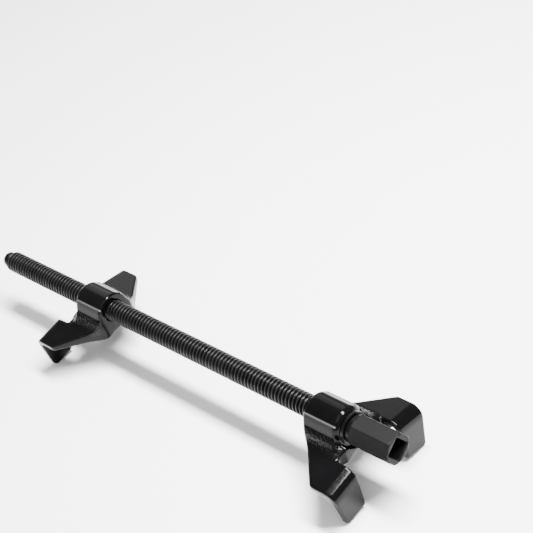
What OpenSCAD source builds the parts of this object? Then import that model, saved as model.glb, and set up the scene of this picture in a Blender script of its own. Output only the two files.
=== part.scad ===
// Coil spring compressor: one screw, a fixed head jaw and a travelling jaw, each with two claws.
// X runs along the screw towards the drive hex, Z is up, and the four claw tips stand on z = 0.

/* [Screw] */
// Overall length, dog point to drive face
overall_length = 401; // [360:1:460]
// Major diameter of the screw thread
rod_d = 15.875; // [12:0.125:20]
// Thread pitch
pitch = 3.175; // [2:0.025:4]
// Diameter of the plain dog point
dog_d = 11.6; // [8:0.1:13]
// Length of the plain dog point
dog_len = 5.5; // [4:0.5:20]
// Chamfer on the dog point
dog_chamfer = 1.2; // [0.2:0.1:2]
// Height of the screw axis above the claw tips
axis_h = 43; // [38:0.5:48]

/* [Drive head] */
// Drive hex across flats
hex_af = 20; // [19:0.5:24]
// Drive hex length
hex_len = 32.5; // [24:0.5:45]
// Hex end chamfer
hex_chamfer = 1.4; // [0.5:0.1:3]
// Stored turn of the screw in degrees
turn0 = 2.9; // [0:0.1:60]
// Square drive socket width
sq = 12.7; // [9.5:0.1:12.8]
// Square drive socket depth
sq_depth = 17; // [12:1:22]
// Shoulder collar diameter
collar_d = 19.6; // [17:0.2:24]
// Thrust washer diameter
washer_d = 22.6; // [20:0.2:25]
// Thrust washer thickness
washer_t = 2.2; // [1.5:0.1:4]
// Spigot that joins the screw to the hex
spigot_d = 11; // [8:0.5:12]

/* [Jaws] */
// Inner end of the head jaw barrel along X
head_x = 131; // [100:0.5:150]
// Inner end of the travelling jaw barrel along X, as stored
trav_x = -71; // [-150:0.5:60]
// Jaw barrel outside diameter
barrel_d = 26.4; // [24:0.2:30]
// Jaw barrel length
barrel_len = 31; // [20:0.5:36]
// Chamfer on the barrel's outer end
barrel_chamfer = 2.6; // [1:0.1:4]
// Running clearance in the jaw bores, on the radius
run_gap = 0.06; // [0.02:0.01:0.1]
// Half width over the claws
claw_half = 44.5; // [36:0.5:50]
// Half width of the gap between the two claw arms
arm_inner = 21.4; // [16:0.2:26]
// Reach of the claws beyond the barrel's inner end
reach = 50.5; // [44:0.5:60]
// Claw plate thickness
plate_t = 5; // [4:0.25:7]
// Outward droop of the claw plate in degrees
droop = 9; // [0:0.5:14]
// Outside radius of the claw bend
bend_r = 9; // [6:0.5:12]
// Rounding of the outer claw tip corner
tip_r = 3.5; // [2:0.5:8]
// Length of the saddle under the barrel
saddle_len = 34.5; // [28:0.5:40]
// Concave radius of the weld fillets
weld_r = 8.5; // [5:0.5:10]

/* [Hidden] */
rod_r = rod_d / 2;
barrel_r = barrel_d / 2;
bore_r = rod_r + run_gap;
x_dog = -overall_length / 2;
x_drive = overall_length / 2;
x_hex = x_drive - hex_len;
x_washer = head_x + barrel_len + 0.3;
x_collar = x_washer + washer_t + 0.3;
hex_r = hex_af / 2 / cos(30);
root_y = 16.2;
root_z = -8.2;
under_z = -17.2;
lip = 0.4;
arm_w = (claw_half - root_y) / cos(droop);
tip_z = (-axis_h - root_z + (arm_w - tip_r) * sin(droop) + tip_r) / cos(droop) - tip_r;
crease_a = 37;
jaw_paint = [0.03, 0.03, 0.035];
rod_black = [0.05, 0.05, 0.055];
hex_grey = [0.16, 0.16, 0.165];
eps = 0.01;

// A round bar along X from x0 to x1 with end chamfers c0 and c1
module bar(x0, x1, r, c0, c1) {
    translate([x0, 0, 0]) rotate([0, 90, 0]) {
        cylinder(h = c0, r1 = r - c0, r2 = r, $fn = 96);
        translate([0, 0, c0]) cylinder(h = x1 - x0 - c0 - c1, r = r, $fn = 96);
        translate([0, 0, x1 - x0 - c1]) cylinder(h = c1, r1 = r, r2 = r - c1, $fn = 96);
    }
}

// A round hole along X from x0 to x1
module hole(x0, x1, r) {
    translate([x0, 0, 0]) rotate([0, 90, 0]) cylinder(h = x1 - x0, r = r, $fn = 96);
}

// Jaw frame: X is outward from the barrel's inner end, the screw axis is the origin
module at_head() { translate([head_x, 0, axis_h]) children(); }
module at_travel() { translate([trav_x, 0, axis_h]) mirror([1, 0, 0]) children(); }

// Side +1 is far (+Y), side -1 is near (-Y)
module on_side(s) { if (s > 0) children(); else mirror([0, 1, 0]) children(); }

module barrel() {
    difference() {
        bar(0, barrel_len, barrel_r, 1.0, barrel_chamfer);
        hole(-1, barrel_len + 1, bore_r);
        translate([-eps, 0, 0]) rotate([0, 90, 0])
            cylinder(h = 0.6, r1 = bore_r + 0.6, r2 = bore_r, $fn = 96);
        translate([barrel_len - 0.6 + eps, 0, 0]) rotate([0, 90, 0])
            cylinder(h = 0.6, r1 = bore_r, r2 = bore_r + 0.6, $fn = 96);
    }
}

module saddle() {
    lip_y = (barrel_r + lip) * cos(crease_a);
    lip_z = (barrel_r + lip) * sin(crease_a);
    difference() {
        union() {
            rotate([90, 0, 90]) linear_extrude(barrel_len - barrel_chamfer - 0.4)
                polygon([[-root_y, under_z], [root_y, under_z], [root_y, 0.5], [lip_y + 2.3, 5],
                    [lip_y, lip_z], [-lip_y, lip_z], [-lip_y - 2.3, 5], [-root_y, 0.5]]);
            translate([0, -root_y, under_z]) cube([saddle_len, 2 * root_y, root_z - under_z]);
        }
        hole(-1, saddle_len + 1, barrel_r);
        // The channel in the underside that clears the coil wire's inner side
        translate([-1, 0, under_z - 30]) rotate([0, 90, 0]) cylinder(h = saddle_len + 2, r = 32, $fn = 96);
    }
}

// Plan outline of one claw on the +Y side
module claw_plan() {
    polygon([[3, root_y], [28.2, claw_half - 1.4], [32, claw_half + 1],
        [reach + 1, claw_half + 1], [reach + 1, arm_inner], [saddle_len + 1.6, arm_inner],
        [saddle_len, arm_inner - 1.6], [saddle_len, root_y]]);
}

// Outline of one claw looking along X, in the drooped plate's own frame
module claw_end() {
    ri = 2.5;
    yi = (arm_inner - root_y) / cos(droop) - 3.5;
    translate([-6, tip_z + 14]) square([arm_w + 6, 20]);
    translate([yi + ri, tip_z]) square([arm_w - yi - ri - tip_r, 16]);
    translate([yi, tip_z + ri]) square([arm_w - yi - tip_r, 14]);
    translate([yi, tip_z + tip_r]) square([arm_w - yi, 10]);
    translate([yi + ri, tip_z + ri]) circle(r = ri, $fn = 48);
    translate([arm_w - tip_r, tip_z + tip_r]) circle(r = tip_r, $fn = 64);
}

module drooped() { translate([0, root_y, root_z]) rotate([-droop, 0, 0]) children(); }

module claw(s) {
    xb = reach - bend_r;
    w = arm_w + 6;
    on_side(s) intersection() {
        union() {
            drooped() {
                translate([-1, -3, -plate_t]) cube([xb + 1, w, plate_t]);
                translate([xb, -3, -bend_r]) rotate([-90, 0, 0]) rotate([0, 0, -90])
                    rotate_extrude(angle = 90, $fn = 96) translate([bend_r - plate_t, 0])
                        square([plate_t, w]);
                translate([reach - plate_t, -3, -bend_r - 28]) cube([plate_t, w, 28]);
            }
            // Thickening under the plate towards the saddle
            rotate([90, 0, 90]) linear_extrude(xb)
                polygon([[root_y, root_z - 2], [root_y, under_z],
                    [root_y + (root_z - plate_t - under_z) / tan(droop) - 0.4, under_z]]);
        }
        translate([0, 0, -60]) linear_extrude(80) claw_plan();
        drooped() translate([-5, 0, 0]) rotate([90, 0, 90]) linear_extrude(80) claw_end();
    }
}

// Concave fillet between the saddle's side and the claw plate
module weld(s) {
    on_side(s) difference() {
        translate([0.8, root_y, root_z]) rotate([-droop, 0, 0]) {
            difference() {
                cube([barrel_len - 4.4, weld_r, weld_r]);
                translate([-1, weld_r, weld_r]) rotate([0, 90, 0])
                    cylinder(h = barrel_len + 2, r = weld_r - 0.6, $fn = 96);
            }
        }
        translate([-1, root_y - 5, -20]) cube([60, 5, 40]);
        // Kept behind the plate's slanted free edge
        translate([3.2, root_y, -20]) rotate([0, 0, 45]) translate([-20, 0.6, 0]) cube([60, 20, 40]);
    }
}

module threaded_rod() {
    color(rod_black) translate([0, 0, axis_h]) {
        bar(x_dog, x_dog + dog_len + 1, dog_d / 2, dog_chamfer, 0.1);
        bar(x_dog + dog_len, x_hex, rod_r, 1.6, 0.2);
        hole(x_hex - 1, x_hex + 9, spigot_d / 2);
    }
}

module drive_hex() {
    color(hex_grey) translate([0, 0, axis_h]) difference() {
        intersection() {
            translate([x_hex, 0, 0]) rotate([0, 90, 0]) rotate([0, 0, 30 + turn0])
                cylinder(h = hex_len, r = hex_r, $fn = 6);
            bar(x_hex, x_drive, hex_r + 0.2, hex_chamfer, hex_chamfer);
        }
        hole(x_hex - 1, x_hex + 9, spigot_d / 2);
        rotate([30 + turn0, 0, 0]) translate([x_drive - sq_depth, -sq / 2, -sq / 2])
            cube([sq_depth + 1, sq, sq]);
    }
}

module shoulder_collar() {
    color(hex_grey) translate([0, 0, axis_h]) difference() {
        bar(x_collar, x_hex, collar_d / 2, 0.8, 0.4);
        hole(x_collar - 1, x_hex + 1, rod_r);
    }
}

module thrust_washer() {
    color(rod_black) translate([0, 0, axis_h]) difference() {
        bar(x_washer, x_washer + washer_t, washer_d / 2, 0.3, 0.3);
        hole(x_washer - 1, x_washer + washer_t + 1, rod_r + 0.08);
    }
}

module head_barrel() { color(jaw_paint) at_head() barrel(); }
module head_saddle() { color(jaw_paint) at_head() saddle(); }
module head_claw_near() { color(jaw_paint) at_head() claw(-1); }
module head_claw_far() { color(jaw_paint) at_head() claw(1); }
module head_weld_near() { color(jaw_paint) at_head() weld(-1); }
module head_weld_far() { color(jaw_paint) at_head() weld(1); }
module travel_barrel() { color(jaw_paint) at_travel() barrel(); }
module travel_saddle() { color(jaw_paint) at_travel() saddle(); }
module travel_claw_near() { color(jaw_paint) at_travel() claw(-1); }
module travel_claw_far() { color(jaw_paint) at_travel() claw(1); }
module travel_weld_near() { color(jaw_paint) at_travel() weld(-1); }
module travel_weld_far() { color(jaw_paint) at_travel() weld(1); }

threaded_rod();
drive_hex();
shoulder_collar();
thrust_washer();
head_barrel();
head_saddle();
head_claw_near();
head_claw_far();
head_weld_near();
head_weld_far();
travel_barrel();
travel_saddle();
travel_claw_near();
travel_claw_far();
travel_weld_near();
travel_weld_far();
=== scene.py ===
import math
import bpy, bmesh
import numpy as np
from mathutils import Vector, Matrix


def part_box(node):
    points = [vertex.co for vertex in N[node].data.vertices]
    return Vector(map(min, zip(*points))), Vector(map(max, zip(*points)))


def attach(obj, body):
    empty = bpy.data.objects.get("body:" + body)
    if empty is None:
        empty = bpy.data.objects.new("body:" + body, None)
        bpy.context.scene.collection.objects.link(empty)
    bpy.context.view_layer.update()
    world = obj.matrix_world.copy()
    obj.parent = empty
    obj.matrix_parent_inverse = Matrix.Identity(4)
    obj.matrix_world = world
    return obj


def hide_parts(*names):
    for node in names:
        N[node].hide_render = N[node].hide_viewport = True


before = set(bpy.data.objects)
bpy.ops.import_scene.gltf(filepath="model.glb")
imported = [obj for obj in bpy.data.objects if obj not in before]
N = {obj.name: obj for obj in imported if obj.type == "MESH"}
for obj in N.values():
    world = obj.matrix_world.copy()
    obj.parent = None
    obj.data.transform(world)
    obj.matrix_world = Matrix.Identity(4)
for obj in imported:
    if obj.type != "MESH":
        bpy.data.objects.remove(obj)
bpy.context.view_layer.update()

# ---------------------------------------------------------------- camera
# The view of the photo: a long lens from the drive end's near side, turned a little about its own axis.
AXIS_Z = 0.043
X_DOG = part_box("threaded_rod")[0][0]
cam_data = bpy.data.cameras.new("camera")
cam = bpy.data.objects.new("camera", cam_data)
bpy.context.scene.collection.objects.link(cam)
bpy.context.scene.camera = cam
cam_data.sensor_fit = "HORIZONTAL"
cam_data.sensor_width = 36.0
cam_data.lens = 36.0 * 1530.1 / 533.0
cam_data.clip_start = 0.05
cam_data.clip_end = 30
cam_pos = Vector((X_DOG + 0.92261 - 0.0055, -0.41175, AXIS_Z + 0.67904))
right = Vector((0.7032, 0.6657, -0.2496)).normalized()
back = Vector((0.6467, -0.4531, 0.6135)).normalized()
up = back.cross(right).normalized()
right = up.cross(back).normalized()
cam.matrix_world = Matrix(((right.x, up.x, back.x, cam_pos.x), (right.y, up.y, back.y, cam_pos.y),
                           (right.z, up.z, back.z, cam_pos.z), (0, 0, 0, 1)))


# ---------------------------------------------------------------- node helpers
def mat(name):
    m = bpy.data.materials.new(name)
    m.use_nodes = True
    nt = m.node_tree
    nt.nodes.clear()
    out = nt.nodes.new("ShaderNodeOutputMaterial")
    bs = nt.nodes.new("ShaderNodeBsdfPrincipled")
    nt.links.new(bs.outputs[0], out.inputs[0])
    return m, nt, bs


def noise_node(nt, scale, detail=4, rough=0.5, vec=None):
    n = nt.nodes.new("ShaderNodeTexNoise")
    n.inputs["Scale"].default_value = scale
    n.inputs["Detail"].default_value = detail
    n.inputs["Roughness"].default_value = rough
    if vec is not None:
        nt.links.new(vec, n.inputs["Vector"])
    return n


def coords(nt):
    return nt.nodes.new("ShaderNodeTexCoord").outputs["Object"]


def ramp(nt, src, stops):
    r = nt.nodes.new("ShaderNodeValToRGB")
    els = r.color_ramp.elements
    while len(els) < len(stops):
        els.new(0.5)
    for e, (p, c) in zip(els, stops):
        e.position = p
        e.color = (c, c, c, 1) if isinstance(c, (int, float)) else (*c, 1)
    nt.links.new(src, r.inputs[0])
    return r.outputs[0]


def mapr(nt, src, a, b, c, d):
    m = nt.nodes.new("ShaderNodeMapRange")
    for k, v in zip(("From Min", "From Max", "To Min", "To Max"), (a, b, c, d)):
        m.inputs[k].default_value = v
    nt.links.new(src, m.inputs["Value"])
    return m.outputs[0]


def mix_col(nt, fac, a, b):
    m = nt.nodes.new("ShaderNodeMix")
    m.data_type = "RGBA"
    for k, v in ((6, a), (7, b)):
        if hasattr(v, "links"):
            nt.links.new(v, m.inputs[k])
        else:
            m.inputs[k].default_value = (*v, 1)
    nt.links.new(fac, m.inputs[0])
    return m.outputs[2]


def mottled(nt, big, dark, light):
    # Slow colour variation between two near tones
    return mix_col(nt, ramp(nt, big.outputs[0], [(0.35, 0.0), (0.7, 1.0)]), dark, light)


def bump(nt, bs, parts):
    # parts: (height socket, strength, distance in metres), chained one on the next
    prev = None
    for src, strength, dist in parts:
        b = nt.nodes.new("ShaderNodeBump")
        b.inputs["Strength"].default_value = strength
        b.inputs["Distance"].default_value = dist
        nt.links.new(src, b.inputs["Height"])
        if prev is not None:
            nt.links.new(prev, b.inputs["Normal"])
        prev = b.outputs[0]
    nt.links.new(prev, bs.inputs["Normal"])


def edge_wear_and_sheen(nt, lo, hi):
    # 1 where the surface is convex, 0 where it is flat or hollow; used for edge wear on the paint and hex,
    # and for a painted highlight on the screw's thread crests
    g = nt.nodes.new("ShaderNodeNewGeometry")
    return mapr(nt, g.outputs["Pointiness"], lo, hi, 0.0, 1.0)


def paint(name):
    m, nt, bs = mat(name)
    co = coords(nt)
    big = noise_node(nt, 38, 4, 0.5, co)
    peel = noise_node(nt, 520, 2, 0.5, co)
    dust = noise_node(nt, 260, 6, 0.7, co)
    base = mottled(nt, big, (0.0010, 0.0010, 0.0011), (0.0018, 0.0018, 0.0020))
    edge_wear_and_sheen_fac = edge_wear_and_sheen(nt, 0.56, 0.68)
    brk = ramp(nt, dust.outputs[0], [(0.52, 0.0), (0.66, 1.0)])
    mul = nt.nodes.new("ShaderNodeMath")
    mul.operation = "MULTIPLY"
    nt.links.new(edge_wear_and_sheen_fac, mul.inputs[0])
    nt.links.new(brk, mul.inputs[1])
    col = mix_col(nt, mul.outputs[0], base, (0.012, 0.012, 0.0125))
    # A paler line painted on the lip where the saddle meets the barrel: a painted highlight along the crease
    sep = nt.nodes.new("ShaderNodeSeparateXYZ")
    nt.links.new(co, sep.inputs[0])
    ay = nt.nodes.new("ShaderNodeMath")
    ay.operation = "ABSOLUTE"
    nt.links.new(sep.outputs[1], ay.inputs[0])
    yz = nt.nodes.new("ShaderNodeCombineXYZ")
    nt.links.new(ay.outputs[0], yz.inputs[1])
    nt.links.new(sep.outputs[2], yz.inputs[2])
    dist = nt.nodes.new("ShaderNodeVectorMath")
    dist.operation = "DISTANCE"
    dist.inputs[1].default_value = (0, 0.0108, AXIS_Z + 0.0078)
    nt.links.new(yz.outputs[0], dist.inputs[0])
    lip_highlight_line = mapr(nt, dist.outputs["Value"], 0.0003, 0.0008, 1.0, 0.0)
    col = mix_col(nt, lip_highlight_line, col, (0.10, 0.10, 0.102))
    nt.links.new(col, bs.inputs["Base Color"])
    nt.links.new(mapr(nt, dust.outputs[0], 0.3, 0.75, 0.085, 0.15), bs.inputs["Roughness"])
    bs.inputs["Specular IOR Level"].default_value = 0.11
    at = nt.nodes.new("ShaderNodeAttribute")
    at.attribute_name = "weld"
    lump = nt.nodes.new("ShaderNodeTexVoronoi")
    lump.feature = "SMOOTH_F1"
    lump.inputs["Scale"].default_value = 800
    nt.links.new(co, lump.inputs["Vector"])
    lump2 = noise_node(nt, 950, 2, 0.6, co)
    add = nt.nodes.new("ShaderNodeMath")
    add.operation = "ADD"
    nt.links.new(lump.outputs[0], add.inputs[0])
    nt.links.new(lump2.outputs[0], add.inputs[1])
    wz = nt.nodes.new("ShaderNodeMath")
    wz.operation = "MULTIPLY"
    nt.links.new(add.outputs[0], wz.inputs[0])
    nt.links.new(at.outputs["Fac"], wz.inputs[1])
    bump(nt, bs, [(wz.outputs[0], 0.9, 0.00055), (big.outputs[0], 0.12, 0.0008),
                  (peel.outputs[0], 0.10, 0.00010)])
    return m


def black_steel(name, crest_highlight_col=(0.06, 0.06, 0.062), lo=0.56, hi=0.68):
    m, nt, bs = mat(name)
    co = coords(nt)
    big = noise_node(nt, 60, 5, 0.6, co)
    fine = noise_node(nt, 1400, 3, 0.6, co)
    base = mottled(nt, big, (0.0009, 0.0009, 0.0010), (0.0016, 0.0016, 0.0018))
    # Convex edges take the crest colour: on the screw this is a painted highlight along the thread crests; on
    # the collar it is only a little paler
    edge_wear_and_sheen_fac = edge_wear_and_sheen(nt, lo, hi)
    col = mix_col(nt, edge_wear_and_sheen_fac, base, crest_highlight_col)
    nt.links.new(col, bs.inputs["Base Color"])
    bs.inputs["Specular IOR Level"].default_value = 0.14
    nt.links.new(mapr(nt, big.outputs[0], 0.3, 0.7, 0.24, 0.36), bs.inputs["Roughness"])
    bump(nt, bs, [(fine.outputs[0], 0.12, 0.0001)])
    return m


def hex_finish(name):
    m, nt, bs = mat(name)
    co = coords(nt)
    big = noise_node(nt, 70, 5, 0.6, co)
    fine = noise_node(nt, 1800, 3, 0.65, co)
    base = mottled(nt, big, (0.0021, 0.0021, 0.0022), (0.0029, 0.0029, 0.0030))
    edge_wear_and_sheen_fac = edge_wear_and_sheen(nt, 0.54, 0.66)
    col = mix_col(nt, edge_wear_and_sheen_fac, base, (0.014, 0.014, 0.0145))
    nt.links.new(col, bs.inputs["Base Color"])
    bs.inputs["Specular IOR Level"].default_value = 0.09
    nt.links.new(mapr(nt, fine.outputs[0], 0.3, 0.7, 0.46, 0.60), bs.inputs["Roughness"])
    bump(nt, bs, [(fine.outputs[0], 0.2, 0.00012), (big.outputs[0], 0.1, 0.0003)])
    return m


M_PAINT = paint("jaw_paint_gloss")
M_ROD = black_steel("screw_black_oxide")
M_COLLAR = black_steel("collar_black_oxide", (0.003, 0.003, 0.0032))
M_HEX = hex_finish("hex_dark_grey")


def set_mat(obj, m):
    obj.data.materials.clear()
    obj.data.materials.append(m)


def obj_from(bm, name, m, smooth=True):
    me = bpy.data.meshes.new(name)
    bm.to_mesh(me)
    bm.free()
    if smooth:
        for p in me.polygons:
            p.use_smooth = True
    o = bpy.data.objects.new(name, me)
    bpy.context.scene.collection.objects.link(o)
    set_mat(o, m)
    return o


# ---------------------------------------------------------------- threaded rod
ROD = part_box("threaded_rod")
PITCH = 0.003175
R_MAJ = 0.0079375                                # thread crests, the CAD bar's radius
R_MIN = R_MAJ - 0.0017                           # thread roots
CREST_SKIN = 0.00002                             # keeps the crests just inside the CAD bar
DOG_R = 0.0058
DOG_LEN = 0.0055
RUN_OUT, RUN_IN = 0.0022, 0.002                  # lengths over which the thread fades at its two ends
SPIGOT_R = 0.0055
X_THREAD0 = ROD[0][0] + DOG_LEN
X_THREAD1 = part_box("shoulder_collar")[0][0] - 0.004


def make_rod():
    # Right-handed trapezoidal thread with flat crests, its first turns run out in a chamfer
    segs = 64
    # one turn of the profile: place along the pitch, and height from root 0 to crest 1
    prof = [(0.00, 0.86), (0.05, 1.0), (0.33, 1.0), (0.38, 0.86),
            (0.52, 0.10), (0.57, 0.0), (0.81, 0.0), (0.86, 0.10)]
    turns = int((X_THREAD1 - X_THREAD0) / PITCH) + 2
    bm = bmesh.new()
    rings = []
    for s in range(segs):
        a = 2 * math.pi * s / segs
        col = []
        for t in range(turns):
            for f, h in prof:
                x = X_THREAD0 + (t + f + s / segs - 1.0) * PITCH
                x = min(max(x, X_THREAD0), X_THREAD1)
                lead = min(1.0, max(0.0, (x - X_THREAD0) / RUN_OUT))
                r_cap = DOG_R + 0.0002 + (R_MAJ - DOG_R - 0.0002) * lead
                tail = min(1.0, max(0.0, (X_THREAD1 - x) / RUN_IN))
                r = R_MIN + (R_MAJ - CREST_SKIN - R_MIN) * h
                r = min(r, r_cap)
                if tail < 1.0:
                    r = max(r, R_MIN + (R_MAJ - 0.00005 - R_MIN) * (1 - tail))
                col.append(bm.verts.new((x, -r * math.sin(a), AXIS_Z + r * math.cos(a))))
        rings.append(col)
    n = len(rings[0])
    per = len(prof)
    for s in range(segs):
        a, b = rings[s], rings[(s + 1) % segs]
        off = 0 if s < segs - 1 else per
        for i in range(n - 1 - off):
            j = i + off
            bm.faces.new((a[i], a[i + 1], b[j + 1], b[j]))
    bmesh.ops.remove_doubles(bm, verts=bm.verts, dist=1e-7)
    bmesh.ops.dissolve_degenerate(bm, dist=1e-8, edges=bm.edges)

    # plain dog point, journal and spigot as turned profiles
    def lathe(pts, seg=64):
        cols = []
        for s in range(seg):
            a = 2 * math.pi * s / seg
            cols.append([bm.verts.new((x, -r * math.sin(a), AXIS_Z + r * math.cos(a))) for x, r in pts])
        for s in range(seg):
            a, b = cols[s], cols[(s + 1) % seg]
            for i in range(len(pts) - 1):
                if pts[i] != pts[i + 1]:
                    bm.faces.new((a[i], b[i], b[i + 1], a[i + 1]))
        bm.faces.new([c[0] for c in cols][::-1])
        bm.faces.new([c[-1] for c in cols])

    x0 = ROD[0][0]
    lathe([(x0, 0.0001), (x0, DOG_R - 0.0012), (x0 + 0.0001, DOG_R - 0.00115), (x0 + 0.0011, DOG_R - 0.0001),
           (x0 + 0.00135, DOG_R), (x0 + 0.0049, DOG_R), (x0 + 0.0053, DOG_R - 0.0002),
           (X_THREAD0 + 0.0005, DOG_R - 0.0002), (X_THREAD0 + 0.0005, 0.0001)])
    xj = X_THREAD1
    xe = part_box("drive_hex")[0][0]
    lathe([(xj - 0.0005, 0.0001), (xj - 0.0005, R_MAJ - 0.0001), (xj, R_MAJ - 0.00003), (xe, R_MAJ - 0.00003),
           (xe, SPIGOT_R - 0.0001), (xe + 0.0089, SPIGOT_R - 0.0001), (xe + 0.009, 0.0001)])
    bmesh.ops.recalc_face_normals(bm, faces=bm.faces)
    o = obj_from(bm, "threaded_screw", M_ROD)
    return o


rod = make_rod()
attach(rod, "spindle")
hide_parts("threaded_rod")

# ---------------------------------------------------------------- forged jaws
# Each jaw is one blended skin over its welded pieces, worked out from distance formulas on a fine grid:
# barrel, saddle, drooped claw plate with its bend, and weld fillets, then cut by the bore and the notches.
HB, HS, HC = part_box("head_barrel"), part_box("head_saddle"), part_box("head_claw_far")
U0 = HS[0][0]                                    # inner end of the head jaw
B_LEN = HB[1][0] - HB[0][0]
B_R = (HB[1][2] - HB[0][2]) / 2
REACH = HC[1][0] - U0
HALF = HC[1][1]
SADDLE = HS[1][0] - HS[0][0]
ROOT_Y, ROOT_Z, UNDER = 0.0162, -0.0082, -0.0172
DROOP, PLATE, BEND, ARM_IN = math.radians(9), 0.005, 0.009, 0.0214
TIP_R = 0.0035
BORE = 0.008
FLOOR = -AXIS_Z


def smin(a, b, k):
    h = np.clip(0.5 + 0.5 * (b - a) / k, 0, 1)
    return b * (1 - h) + a * h - k * h * (1 - h)


def smax(a, b, k):
    return -smin(-a, -b, k)


def hyp(*v):
    return np.sqrt(sum(q * q for q in v))


def box2(x, y, x0, x1, y0, y1, r=0.0):
    qx = np.abs(x - (x0 + x1) / 2) - (x1 - x0) / 2 + r
    qy = np.abs(y - (y0 + y1) / 2) - (y1 - y0) / 2 + r
    return hyp(np.maximum(qx, 0), np.maximum(qy, 0)) + np.minimum(np.maximum(qx, qy), 0) - r


def extrude(d, z, z0, z1, r=0.0):
    qz = np.abs(z - (z0 + z1) / 2) - (z1 - z0) / 2 + r
    d = d + r
    return hyp(np.maximum(d, 0), np.maximum(qz, 0)) + np.minimum(np.maximum(d, qz), 0) - r


def jaw_distance(u, y, z):
    y = np.abs(y)
    rr = hyp(y, z)
    barrel = extrude(rr - B_R, u, 0.0, B_LEN, 0.0016)
    # heavy chamfer on the outer end
    barrel = smax(barrel, (rr - B_R + u - B_LEN + 0.0027) * 0.7071, 0.0012)
    # side wall and saddle: an omega section along the barrel, and a plain web beyond it
    slope = (z - 0.0075) * -0.44
    wall = np.maximum(y - (0.0113 + np.clip(slope, 0, 0.0049)), z - 0.0082)
    wall = np.maximum(wall, UNDER - z)
    upper = extrude(wall, u, 0.0, B_LEN - 0.0031, 0.0008)
    web = extrude(box2(y, z, -0.03, ROOT_Y - 0.0014, UNDER, ROOT_Z + 0.0002, 0.0006), u, 0.0, SADDLE, 0.0009)
    # drooped plate, its bend and the turned-down tip, as a band along the droop
    c, s = math.cos(DROOP), math.sin(DROOP)
    yl = (y - ROOT_Y) * c - (z - ROOT_Z) * s
    zl = (y - ROOT_Y) * s + (z - ROOT_Z) * c
    ub = REACH - BEND
    bend = np.abs(hyp(np.maximum(u - ub, 0), np.maximum(zl + BEND, 0)) - (BEND - PLATE / 2)) - PLATE / 2
    flat = np.abs(zl + PLATE / 2) - PLATE / 2
    tip = np.abs(u - REACH + PLATE / 2) - PLATE / 2
    band = np.where(u < ub, flat, np.where(zl < -BEND, tip, bend))
    nearest = np.minimum(np.abs(u - REACH + PLATE / 2), np.abs(zl + PLATE / 2)) - PLATE / 2
    band = np.where((u < ub) & (zl < -BEND), nearest, band)
    wedge = np.maximum(np.maximum(UNDER - z, zl + 0.002), u - ub + 0.001)
    band = smin(band, wedge, 0.0012)
    arm = (HALF - ROOT_Y) / c
    tz = (FLOOR - ROOT_Z + (arm - TIP_R) * s + TIP_R) / c - TIP_R
    yi = (ARM_IN - ROOT_Y) / c - 0.0006
    # plan of the claw: slanted free edge, square notch beside the tip
    plan = np.maximum((y - u * 1.07 - 0.0130) * 0.683, u - REACH)
    plan = np.maximum(plan, -u)
    notch = smin(u - SADDLE, ARM_IN - y, 0.0022)
    plan = smax(plan, notch, 0.0010)
    ends = box2(yl, zl, -0.02, arm, tz, 0.02, TIP_R)
    ends = np.maximum(ends, np.where(u > SADDLE + 0.004, box2(yl, zl, yi, arm + 0.01, tz, 0.02, 0.002), -1))
    claw = smax(smax(band, plan, 0.0014), ends, 0.0016)
    body = smin(upper, barrel, 0.0010)
    low = smin(web, claw, 0.003)
    d = smin(body, low, 0.0085)
    # nothing swells past the flat inner end, the underside or the turning collar
    d = smax(d, (y - u * 1.07 - 0.0139) * 0.683, 0.0020)
    d = smax(d, -u, 0.0030)
    d = smax(d, UNDER - 0.0002 - z + np.where(u < ub - 0.002, 0.0, -1.0), 0.0008)
    under = np.maximum(hyp(y, z - UNDER + 0.030) - 0.032, u - SADDLE - 0.001)
    d = smax(d, -under, 0.0010)
    clear = np.maximum(hyp(y, z) - 0.0128, B_LEN + 0.0006 - u)
    d = smax(d, -clear, 0.0012)
    bore = rr - BORE - 0.0005 * np.clip((0.0006 - np.minimum(u, B_LEN - u)) / 0.0006, 0, 1)
    return smax(d, -bore, 0.0003)


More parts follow.
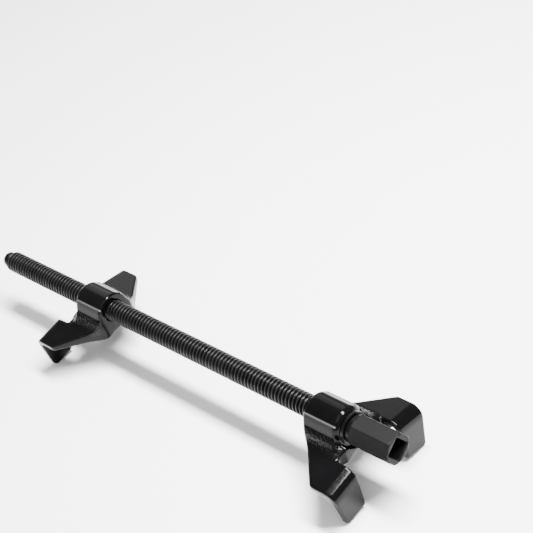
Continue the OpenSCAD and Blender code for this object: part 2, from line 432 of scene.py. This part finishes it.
def surface_nets(f, lo, hi, h):
    n = [int(math.ceil((b - a) / h)) + 1 for a, b in zip(lo, hi)]
    ax = [lo[i] + h * np.arange(n[i]) for i in range(3)]
    g = np.meshgrid(*ax, indexing="ij")
    v = f(*g)
    inside = v < 0
    cell = tuple(k - 1 for k in n)
    corner = lambda a, i, j, k: a[i:i + cell[0], j:j + cell[1], k:k + cell[2]]
    cs = [(i, j, k) for i in (0, 1) for j in (0, 1) for k in (0, 1)]
    cnt = sum(corner(inside, *c).astype(int) for c in cs)
    act = (cnt > 0) & (cnt < 8)
    acc = np.zeros(cell + (3,))
    wgt = np.zeros(cell)
    for a in cs:
        for i in range(3):
            if a[i]:
                continue
            b = list(a)
            b[i] = 1
            va, vb = corner(v, *a), corner(v, *b)
            cross = (va < 0) != (vb < 0)
            t = np.where(cross, va / np.where(cross, va - vb, 1), 0)
            for q in range(3):
                acc[..., q] += np.where(cross, a[q] + (t if q == i else 0), 0)
            wgt += cross
    idx = -np.ones(cell, int)
    idx[act] = np.arange(act.sum())
    base = np.argwhere(act)
    pts = (base + acc[act] / wgt[act][:, None]) * h + np.array(lo)
    quads = []
    for i in range(3):
        j, k = (i + 1) % 3, (i + 2) % 3
        sa = [slice(0, m) for m in n]
        sa[i] = slice(0, n[i] - 1)
        sb = list(sa)
        sb[i] = slice(1, n[i])
        diff = inside[tuple(sa)] != inside[tuple(sb)]
        e = np.argwhere(diff)
        ok = (e[:, j] > 0) & (e[:, k] > 0) & (e[:, j] < cell[j]) & (e[:, k] < cell[k])
        e = e[ok]
        first = inside[tuple(e.T)]
        ids = []
        for dj, dk in ((0, 0), (-1, 0), (-1, -1), (0, -1)):
            p = e.copy()
            p[:, j] += dj
            p[:, k] += dk
            ids.append(idx[tuple(p.T)])
        q = np.stack(ids, 1)
        q[~first] = q[~first][:, ::-1]
        quads.append(q)
    quads = np.concatenate(quads)
    # pull each vertex onto the true surface
    for _ in range(3):
        e = 2e-5
        d = f(*pts.T)
        gr = np.stack([(f(*(pts + k * e).T) - f(*(pts - k * e).T)) / (2 * e) for k in np.eye(3)], 1)
        ln = np.maximum((gr ** 2).sum(1), 0.2)
        step = np.clip(d, -h, h)[:, None] * gr / ln[:, None]
        pts = pts - step * 0.9
    return pts, quads


def weld_mask(pts):
    # 1 in the fillet beside the barrel, where the paint lies over rough weld, fading to 0
    u, y, z = pts[:, 0], np.abs(pts[:, 1]), pts[:, 2]
    zone = np.clip(1 - np.abs(hyp(y - 0.0185, z + 0.0050) - 0.0018) / 0.0052, 0, 1)
    return zone * np.clip(u / 0.002, 0, 1) * np.clip((SADDLE - u) / 0.004, 0, 1)


def make_jaw(name, head):
    pts, quads = SKIN
    if head:
        co = pts * [1, 1, 1] + [U0, 0, AXIS_Z]
        q = quads
    else:
        co = pts * [-1, 1, 1] + [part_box("travel_saddle")[1][0], 0, AXIS_Z]
        q = quads[:, ::-1]
    # kept inside the CAD box of its own jaw
    pre = name.split("_")[0]
    boxes = [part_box(pre + k) for k in ("_barrel", "_saddle", "_claw_near", "_claw_far")]
    co = np.clip(co, np.min([b[0] for b in boxes], axis=0), np.max([b[1] for b in boxes], axis=0))
    me = bpy.data.meshes.new(name)
    me.from_pydata(co.tolist(), [], q.tolist())
    me.update()
    for p in me.polygons:
        p.use_smooth = True
    at = me.attributes.new("weld", "FLOAT", "POINT")
    at.data.foreach_set("value", weld_mask(pts).astype(np.float32))
    o = bpy.data.objects.new(name, me)
    bpy.context.scene.collection.objects.link(o)
    set_mat(o, M_PAINT)
    return o


SKIN = surface_nets(jaw_distance, (-0.0021, -0.0462, FLOOR - 0.0017),
                    (REACH + 0.002, 0.0462, B_R + 0.002), 0.0008)
PIECES = ("barrel", "saddle", "claw_near", "claw_far", "weld_near", "weld_far")
for body, pre, is_head in (("head_jaw", "head", True), ("travel_jaw", "travel", False)):
    jw = make_jaw(pre + "_jaw_skin", is_head)
    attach(jw, body)
    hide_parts(*[pre + "_" + k for k in PIECES])

# ---------------------------------------------------------------- drive hex
# The hex with softened edges, turned end chamfers and a lead-in round the mouth of its square socket
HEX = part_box("drive_hex")
HX0, HX1 = HEX[0][0], HEX[1][0]
TURN = math.radians(2.9)                         # the screw's turn as stored
FLAT = 0.010                                     # axis to a flat
END_R = 0.01035                                  # radius left by the end chamfers
SOCKET, SOCKET_DEEP, LEAD = 0.00635, 0.017, 0.0008
EDGE = 0.0004                                    # softening of the edges


def hex_distance(x, y, z):
    r = hyp(y, z)
    d = np.full_like(x, -1.0)
    for k in range(3):
        a = TURN + k * math.pi / 3
        d = smax(d, np.abs(y * math.sin(a) - z * math.cos(a)) - FLAT, EDGE)
    d = smax(d, (r - END_R - (HX1 - x)) * 0.7071, EDGE)
    d = smax(d, (r - END_R - (x - HX0)) * 0.7071, EDGE)
    d = smax(d, np.maximum(x - HX1, HX0 - x), EDGE)
    a = math.radians(30) + TURN
    p, q = np.abs(y * math.cos(a) + z * math.sin(a)), np.abs(z * math.cos(a) - y * math.sin(a))
    lead = np.maximum(0, LEAD - (HX1 - x))
    socket = np.maximum(smax(p, q, 0.0010) - SOCKET - lead, HX1 - SOCKET_DEEP - x)
    d = smax(d, -socket, EDGE)
    return np.maximum(d, -np.maximum(r - SPIGOT_R, x - HX0 - 0.009))


def make_hex():
    pts, quads = surface_nets(hex_distance, (HX0 - 0.0011, -0.0131, -0.0131),
                              (HX1 + 0.001, 0.0131, 0.0131), 0.00045)
    co = np.clip(pts + [0, 0, AXIS_Z], HEX[0], HEX[1])
    me = bpy.data.meshes.new("drive_hex_head")
    me.from_pydata(co.tolist(), [], quads.tolist())
    for p in me.polygons:
        p.use_smooth = True
    o = bpy.data.objects.new("drive_hex_head", me)
    bpy.context.scene.collection.objects.link(o)
    set_mat(o, M_HEX)
    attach(o, "spindle")
    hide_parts("drive_hex")


make_hex()

# ---------------------------------------------------------------- carried-over CAD nodes
for nm, ob in N.items():
    if nm in ("threaded_rod", "drive_hex"):
        continue
    if nm in ("shoulder_collar", "thrust_washer"):
        set_mat(ob, M_COLLAR)
    else:
        set_mat(ob, M_PAINT)

# ---------------------------------------------------------------- stage
def make_stage():
    bm = bmesh.new()
    s = 6.0
    vs = [bm.verts.new((x, y, -0.0002)) for x, y in ((-s, -s), (s, -s), (s, s), (-s, s))]
    bm.faces.new(vs)
    m, nt, bs = mat("floor_pale")
    co = coords(nt)
    nz = noise_node(nt, 3, 3, 0.5, co)
    nt.links.new(mix_col(nt, nz.outputs[0], (0.90, 0.90, 0.90), (0.93, 0.93, 0.93)), bs.inputs["Base Color"])
    bs.inputs["Roughness"].default_value = 0.7
    bs.inputs["Specular IOR Level"].default_value = 0.1
    f = obj_from(bm, "floor", m, False)


make_stage()


def area(name, loc, target, size, energy, size_y=None):
    d = bpy.data.lights.new(name, "AREA")
    d.energy = energy
    d.size = size
    if size_y:
        d.shape = "RECTANGLE"
        d.size_y = size_y
    o = bpy.data.objects.new(name, d)
    bpy.context.scene.collection.objects.link(o)
    o.location = loc
    o.rotation_euler = (Vector(target) - Vector(loc)).to_track_quat("-Z", "Y").to_euler()
    return o


def strip(name, loc, target, length, width, energy):
    # A long light whose length runs along X
    o = area(name, loc, target, length, energy, width)
    z = (Vector(loc) - Vector(target)).normalized()
    x = (Vector((1, 0, 0)) - z * z.x).normalized()
    y = z.cross(x)
    o.matrix_world = Matrix(((x.x, y.x, z.x, loc[0]), (x.y, y.y, z.y, loc[1]),
                             (x.z, y.z, z.z, loc[2]), (0, 0, 0, 1)))


strip("key", (0.32, 0.27, 1.10), (0.15, 0, 0.03), 1.0, 0.20, 105)
area("back", (-1.2, 0.9, 0.9), (0, 0, 0), 1.1, 6)
area("fill", (0.2, -0.8, 1.7), (0, 0, 0), 1.4, 16)
w = bpy.data.worlds.new("world")
bpy.context.scene.world = w
w.use_nodes = True
w.node_tree.nodes["Background"].inputs[0].default_value = (1, 1, 1, 1)
w.node_tree.nodes["Background"].inputs[1].default_value = 0.55
